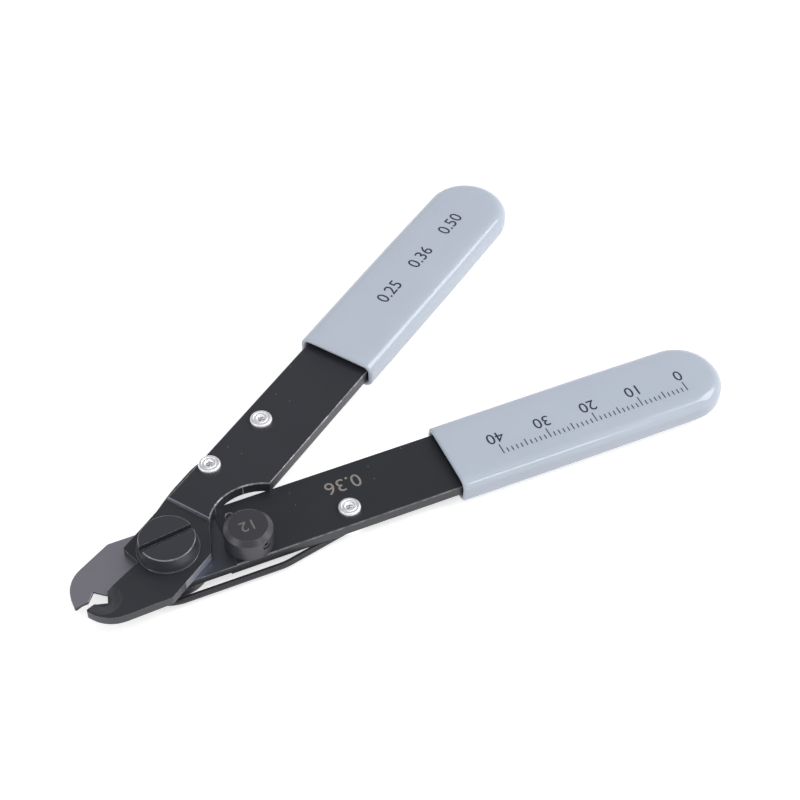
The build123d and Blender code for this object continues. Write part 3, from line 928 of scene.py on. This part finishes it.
# %% [markdown]
# ## Rivets
# Each rivet is a body of revolution, but its head shows how it was set: a raised rim, a
# ring pressed by the tool's nose, and a hollow with three lobes round the broken mandrel.
# A profile of radius and height is turned about the axis, and the lobes are a wave of
# three around the axis added to the rows of the hollow.

# %% Rivets and mandrels
rivet_columns = 60
rivet_angles = np.linspace(0, 2 * pi, rivet_columns, endpoint=False)
lobe_swell = 0.25


def turned_points(centre, radii, heights, lobes):
    """A profile turned about an upright axis: rows of the profile, columns round it. Lobes
    is how far each row rises and falls in a wave of three. The radius grows and shrinks in
    the same wave, by lobe_swell times as much, as a share of itself."""
    wave = np.cos(3 * rivet_angles)
    radius = radii[:, None] * (1 + lobe_swell * lobes[:, None] * wave)
    x = centre[0] + radius * np.cos(rivet_angles)
    y = centre[1] + radius * np.sin(rivet_angles)
    z = heights[:, None] + lobes[:, None] * wave
    return np.stack([x, y, z], axis=-1)


# Radius and depth below the head's top, from the mandrel's bore out to the rim
head_profile = np.array([
    (0.0, 0.42), (0.60, 0.42), (0.66, 0.34), (0.74, 0.22), (0.86, 0.11), (0.98, 0.05), (1.10, 0.03),
    (1.20, 0.06), (1.28, 0.14), (1.40, 0.15), (1.47, 0.07), (1.56, 0.02), (1.70, 0.0),
    (1.84, 0.03), (1.97, 0.10), (2.08, 0.22), (2.14, 0.36), (2.16, 0.52), (2.14, 0.66),
])
head_lobes = np.array([0, 0.02, 0.05, 0.07, 0.06, 0.03, 0.01] + [0] * 12)
head_seat_round = 2.10
shank_round = 1.2
tail_round = 2.25
tail_height = 0.8
tail_corner = 0.3
tail_chamfer = 0.1
pin_round = 0.62
pin_head_round = 1.0
pin_head_height = 0.25
pin_neck = 0.5
pin_chamfer = (0.1, 0.08)


def rivet_body(place, body):
    """Head, shank and upset tail of a rivet, in one profile from the top down."""
    low, high = node_box(place + "_rivet")
    top = high[2]
    plate = upper_plate_top if body == "upper_lever" else lower_plate_top
    tail_top = low[2] + tail_height
    radii = np.concatenate([
        head_profile[:, 0],
        [head_seat_round, shank_round, shank_round],
        [tail_round - tail_chamfer, tail_round, tail_round],
        [tail_round - tail_corner, 0.0],
    ])
    heights = np.concatenate([
        top - head_profile[:, 1],
        [plate, plate, tail_top],
        [tail_top, tail_top - tail_chamfer, low[2] + tail_corner],
        [low[2], low[2]],
    ])
    lobes = np.concatenate([head_lobes, np.zeros(8)])
    points = turned_points((low + high) / 2, radii, heights, lobes)
    made = closed_mesh(place + "_rivet_set", points, 50.0)
    made.data.materials.append(rivet_aluminium)
    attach(made, body)
    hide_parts(place + "_rivet")
    return made


def mandrel_stub(place, body):
    """The broken pin in the head's hollow and its round head under the tail."""
    low, high = node_box(place + "_rivet_mandrel")
    radii = np.array([0.0, 0.12, 0.26, 0.42, 0.56, pin_round, pin_round, pin_round,
                      pin_head_round, pin_head_round, pin_head_round - pin_chamfer[0], 0.0])
    top = high[2]
    shoulder = low[2] + pin_head_height
    heights = np.array([top + 0.02, top + 0.03, top + 0.01, top - 0.01, top - 0.02, top - 0.08,
                        top - pin_neck, shoulder, shoulder, low[2] + pin_chamfer[1], low[2],
                        low[2]])
    lobes = np.array([0, 0.02, 0.05, 0.07, 0.06, 0.03, 0, 0, 0, 0, 0, 0])
    points = turned_points((low + high) / 2, radii, heights, lobes)
    made = closed_mesh(place + "_mandrel_stub", points, 50.0)
    made.data.materials.append(mandrel_steel)
    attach(made, body)
    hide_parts(place + "_rivet_mandrel")
    return made


for place, body in (("lower", "lower_lever"), ("upper", "upper_lever"), ("guide", "upper_lever")):
    rivet = rivet_body(place, body)
    stub = mandrel_stub(place, body)
    print(rivet.name, "and", stub.name)

# %% [markdown]
# ## Marks
# A size number is etched on the lower lever, and a plain millimetre rule is printed on the
# lower grip, for measuring how much insulation comes off. The upper grip carries the plain
# sizes that the stop can be set to. The number on the knob counts its steps. Marks could
# be images, but real outlines stay sharp at any size: text is turned into a mesh two
# hundredths of a millimetre thick, laid on its surface in the lever's own coordinates.

# %% Ink and etching


def plain_finish(name, colour, roughness, metallic=0.0):
    """One even colour and shine, as ink and a shallow etch have."""
    material, tree, shader = new_material(name)
    plug(tree, shader, {
        "Base Color": linear(colour), "Roughness": roughness, "Metallic": metallic
    })
    return material


ink = plain_finish("navy_printing_ink", "#24283A", 0.45)
etched = plain_finish("etched_steel_number", "#8E8985", 0.6, 0.3)
etched_dim = plain_finish("etched_knob_number", "#6E6A68", 0.6)
print("mark finishes:", ink.name, etched.name, etched_dim.name)

# %% Outlines of text and bars
mark_thickness = 0.02
# Height of a figure as a share of the type size
figure_share = 0.72


def text_outline(text, height):
    """Vertices and faces of a text, height mm tall, centred on its own origin."""
    curve = bpy.data.curves.new("text", "FONT")
    curve.body = text
    curve.align_x = "CENTER"
    curve.align_y = "CENTER"
    curve.size = height / figure_share * mm
    curve.extrude = mark_thickness / 2 * mm
    curve.resolution_u = 4
    holder = bpy.data.objects.new("text", curve)
    bpy.context.scene.collection.objects.link(holder)
    bpy.context.view_layer.update()
    mesh = bpy.data.meshes.new_from_object(holder)
    bpy.data.objects.remove(holder)
    corners = np.empty(len(mesh.vertices) * 3, dtype=np.float32)
    mesh.vertices.foreach_get("co", corners)
    faces = [tuple(face.vertices) for face in mesh.polygons]
    return corners.reshape(-1, 3) * per_mm, faces


def bar_outline(width, height):
    """Vertices and faces of a flat bar, width by height mm, centred on its own origin."""
    signs = np.array([(-1, -1), (1, -1), (1, 1), (-1, 1)]) / 2
    flat = signs * (width, height)
    low = np.column_stack([flat, np.full(4, -mark_thickness / 2)])
    high = np.column_stack([flat, np.full(4, mark_thickness / 2)])
    faces = [(0, 3, 2, 1), (4, 5, 6, 7), (0, 1, 5, 4), (1, 2, 6, 5), (2, 3, 7, 6), (3, 0, 4, 7)]
    return np.concatenate([low, high]), faces


def mark_on_lever(name, side, reads_along, surface, outlines, finish, body):
    """One object of several outlines on a lever, each given as its vertices and faces, its
    place along and its place outward.
    reads_along is +1 where the text runs towards the grip's end and -1 towards the pivot."""
    vertices, faces, count = [], [], 0
    for (corners, polygons), along, outward in outlines:
        spot = lever_points(
            side,
            along + reads_along * corners[:, 0],
            outward + reads_along * side * corners[:, 1],
            surface + mark_thickness / 2 + corners[:, 2],
        )
        vertices.append(spot)
        faces += [[count + corner for corner in polygon] for polygon in polygons]
        count += len(corners)
    mesh = bpy.data.meshes.new(name)
    mesh.from_pydata((np.concatenate(vertices) * mm).tolist(), [], faces)
    work = bmesh.new()
    work.from_mesh(mesh)
    bmesh.ops.remove_doubles(work, verts=work.verts, dist=1e-7)
    work.to_mesh(mesh)
    work.free()
    made = finished_object(name, mesh, 20.0)
    made.data.materials.append(finish)
    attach(made, body)
    return made


# %% Marks in their places
grip_tops = {name: mesh_top(grips[name]) for name in ("lower", "upper")}
size_height = 3.1
size_along = 35.5
size_outward = -2.7
etched_size = (text_outline("0.36", size_height), size_along, size_outward)
number = mark_on_lever(
    "etched_size_number", -1, -1, lower_plate_top,
    [etched_size], etched, "lower_lever",
)

rule_start = 66.0
rule_length = 40
rule_base = 4.2
rule_number_drop = 4.3
rule_number_height = 2.6
line_width = 0.2
tick_lengths = {10: 2.4, 5: 1.7, 1: 1.1}
rule = []
for step_mm in range(rule_length + 1):
    tick = next(length for every, length in tick_lengths.items() if step_mm % every == 0)
    along = rule_start + rule_length - step_mm
    rule.append((bar_outline(line_width, tick), along, rule_base - tick / 2))
for step_mm in range(0, rule_length + 1, 10):
    along = rule_start + rule_length - step_mm
    outline = text_outline(str(step_mm), rule_number_height)
    rule.append((outline, along, rule_base - rule_number_drop))
printed_rule = mark_on_lever(
    "printed_rule", -1, -1, grip_tops["lower"], rule, ink, "lower_lever"
)
grip_size_height = 2.8
size_places = {"0.25": 76.0, "0.36": 88.0, "0.50": 100.0}
sizes = [
    (text_outline(size, grip_size_height), along, 0.0) for size, along in size_places.items()
]
printed_sizes = mark_on_lever(
    "printed_sizes", 1, 1, grip_tops["upper"], sizes, ink, "upper_lever"
)
knob_number_height = 2.4
knob_mark = (text_outline("12", knob_number_height), *lever_place(-1, "stop_knob"))
knob_number = mark_on_lever(
    "etched_knob_number", -1, -1, knob_high[2],
    [knob_mark], etched_dim, "stop_collar",
)
for made in (number, printed_rule, printed_sizes, knob_number):
    print(made.name, len(made.data.polygons), "faces")
